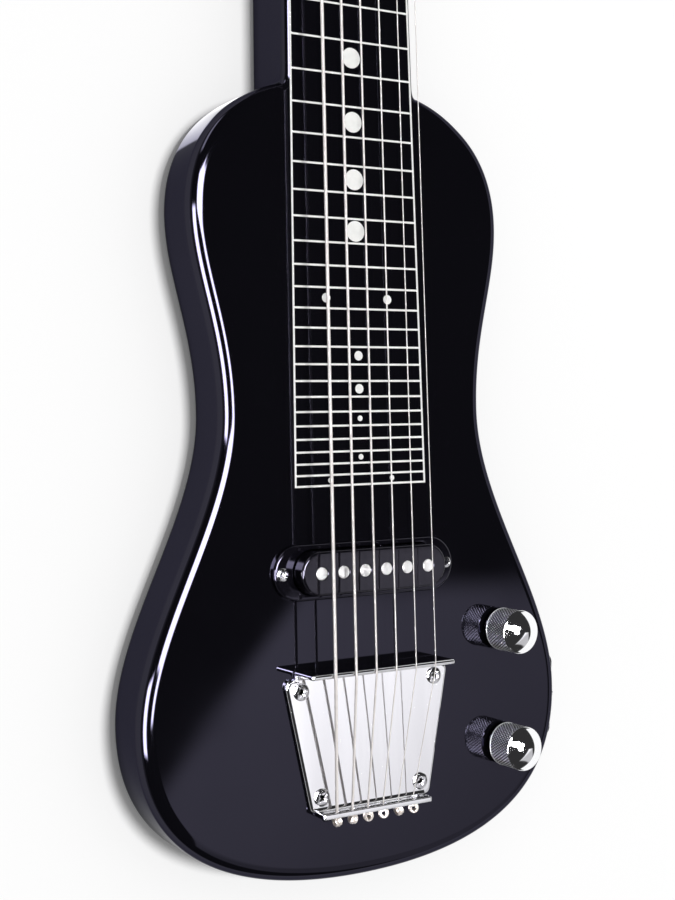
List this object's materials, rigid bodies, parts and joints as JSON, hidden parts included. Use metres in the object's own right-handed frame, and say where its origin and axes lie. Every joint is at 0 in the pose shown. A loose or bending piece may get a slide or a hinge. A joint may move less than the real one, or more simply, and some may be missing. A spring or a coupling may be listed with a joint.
{
  "type": "lap steel guitar",
  "caption": "Solid-body electric lap steel guitar: flat printed fingerboard, raised nut and folded bridge plate, bar pickup, turned control knobs, side jack and geared tuners.",
  "frame": {"origin": "on the flat back face, on the centre line, straight below the front edge of the bridge's saddle lip, where the strings' speaking length starts", "axes": "+X towards the treble side and its controls, +Y along the strings towards the headstock, +Z out of the top, up when the guitar lies on its back"},
  "size_m": [0.2005, 0.8172, 0.0488],
  "materials": {
    "body_lacquer": "gloss black lacquer over a one-piece wood body",
    "line_print": "thin white print under clear lacquer",
    "polished_chrome": "mirror-polished chrome plating",
    "screw_chrome": "chromed screw heads with a cross recess",
    "string_wire": "nickel-wound and plain steel wire",
    "black_plastic": "moulded black plastic, polished",
    "fibre_board": "black vulcanised fibre, matt",
    "copper_wire": "fine enamelled copper wire",
    "pole_steel": "nickel-plated pole faces, turned",
    "plated_steel": "nickel-plated pressed steel",
    "lead_jacket": "black flexible insulation"
  },
  "bodies": {
    "guitar": {"body": "body_lacquer", "fret_lines": "line_print", "nut": "polished_chrome", "bridge_plate": "polished_chrome", "volume_nut": "polished_chrome", "tone_nut": "polished_chrome", "jack_nut": "polished_chrome", "pickup_screw_1": "screw_chrome", "pickup_screw_2": "screw_chrome", "bridge_screw_1": "screw_chrome", "bridge_screw_2": "screw_chrome", "bridge_screw_3": "screw_chrome", "bridge_screw_4": "screw_chrome", "jack_plate_screw_1": "screw_chrome", "jack_plate_screw_2": "screw_chrome", "control_cover_screw_1": "screw_chrome", "control_cover_screw_2": "screw_chrome", "control_cover_screw_3": "screw_chrome", "control_cover_screw_4": "screw_chrome", "string_1": "string_wire", "string_2": "string_wire", "string_3": "string_wire", "string_4": "string_wire", "string_5": "string_wire", "string_6": "string_wire", "pickup_ring": "black_plastic", "pickup_cover": "black_plastic", "jack_plate": "black_plastic", "control_cover": "black_plastic", "pickup_flatwork": "fibre_board", "pickup_coil": "copper_wire", "pickup_pole_1": "pole_steel", "pickup_pole_2": "pole_steel", "pickup_pole_3": "pole_steel", "pickup_pole_4": "pole_steel", "pickup_pole_5": "pole_steel", "pickup_pole_6": "pole_steel", "volume_pot": "plated_steel", "tone_pot": "plated_steel", "jack_socket": "plated_steel", "tuner_plate_bass": "plated_steel", "tuner_plate_treble": "plated_steel", "pickup_lead": "lead_jacket", "jack_lead": "lead_jacket"},
    "volume_control": {"volume_knob": "polished_chrome", "volume_shaft": "plated_steel"},
    "tone_control": {"tone_knob": "polished_chrome", "tone_shaft": "plated_steel"},
    "string_post_1": {"tuner_post_1": "polished_chrome"},
    "tuner_handle_1": {"tuner_button_1": "polished_chrome"},
    "string_post_2": {"tuner_post_2": "polished_chrome"},
    "tuner_handle_2": {"tuner_button_2": "polished_chrome"},
    "string_post_3": {"tuner_post_3": "polished_chrome"},
    "tuner_handle_3": {"tuner_button_3": "polished_chrome"},
    "string_post_4": {"tuner_post_4": "polished_chrome"},
    "tuner_handle_4": {"tuner_button_4": "polished_chrome"},
    "string_post_5": {"tuner_post_5": "polished_chrome"},
    "tuner_handle_5": {"tuner_button_5": "polished_chrome"},
    "string_post_6": {"tuner_post_6": "polished_chrome"},
    "tuner_handle_6": {"tuner_button_6": "polished_chrome"}
  },
  "joints": [
    {"name": "volume_turn", "type": "hinge", "parent": "guitar", "child": "volume_control", "pos_m": [0.067, 0.0078, 0.032], "axis": [0, 0, 1], "range_deg": [-150, 150]},
    {"name": "tone_turn", "type": "hinge", "parent": "guitar", "child": "tone_control", "pos_m": [0.067, -0.0401, 0.032], "axis": [0, 0, 1], "range_deg": [-150, 150]},
    {"name": "tuner_1_turn", "type": "hinge", "parent": "guitar", "child": "tuner_handle_1", "pos_m": [-0.022, 0.6215, 0.0088], "axis": [1, 0, 0], "continuous": true},
    {"name": "post_1_turn", "type": "hinge", "parent": "guitar", "child": "string_post_1", "pos_m": [-0.022, 0.6135, 0.0265], "axis": [0, 0, 1], "continuous": true},
    {"name": "tuner_2_turn", "type": "hinge", "parent": "guitar", "child": "tuner_handle_2", "pos_m": [-0.022, 0.6565, 0.0088], "axis": [1, 0, 0], "continuous": true},
    {"name": "post_2_turn", "type": "hinge", "parent": "guitar", "child": "string_post_2", "pos_m": [-0.022, 0.6485, 0.0265], "axis": [0, 0, 1], "continuous": true},
    {"name": "tuner_3_turn", "type": "hinge", "parent": "guitar", "child": "tuner_handle_3", "pos_m": [-0.022, 0.6915, 0.0088], "axis": [1, 0, 0], "continuous": true},
    {"name": "post_3_turn", "type": "hinge", "parent": "guitar", "child": "string_post_3", "pos_m": [-0.022, 0.6835, 0.0265], "axis": [0, 0, 1], "continuous": true},
    {"name": "tuner_4_turn", "type": "hinge", "parent": "guitar", "child": "tuner_handle_4", "pos_m": [0.022, 0.6915, 0.0088], "axis": [1, 0, 0], "continuous": true},
    {"name": "post_4_turn", "type": "hinge", "parent": "guitar", "child": "string_post_4", "pos_m": [0.022, 0.6835, 0.0265], "axis": [0, 0, 1], "continuous": true},
    {"name": "tuner_5_turn", "type": "hinge", "parent": "guitar", "child": "tuner_handle_5", "pos_m": [0.022, 0.6565, 0.0088], "axis": [1, 0, 0], "continuous": true},
    {"name": "post_5_turn", "type": "hinge", "parent": "guitar", "child": "string_post_5", "pos_m": [0.022, 0.6485, 0.0265], "axis": [0, 0, 1], "continuous": true},
    {"name": "tuner_6_turn", "type": "hinge", "parent": "guitar", "child": "tuner_handle_6", "pos_m": [0.022, 0.6215, 0.0088], "axis": [1, 0, 0], "continuous": true},
    {"name": "post_6_turn", "type": "hinge", "parent": "guitar", "child": "string_post_6", "pos_m": [0.022, 0.6135, 0.0265], "axis": [0, 0, 1], "continuous": true}
  ],
  "couplings": [
    {"joint": "post_1_turn", "follows": "tuner_1_turn", "ratio": 0.071429},
    {"joint": "post_2_turn", "follows": "tuner_2_turn", "ratio": 0.071429},
    {"joint": "post_3_turn", "follows": "tuner_3_turn", "ratio": 0.071429},
    {"joint": "post_4_turn", "follows": "tuner_4_turn", "ratio": 0.071429},
    {"joint": "post_5_turn", "follows": "tuner_5_turn", "ratio": 0.071429},
    {"joint": "post_6_turn", "follows": "tuner_6_turn", "ratio": 0.071429}
  ]
}
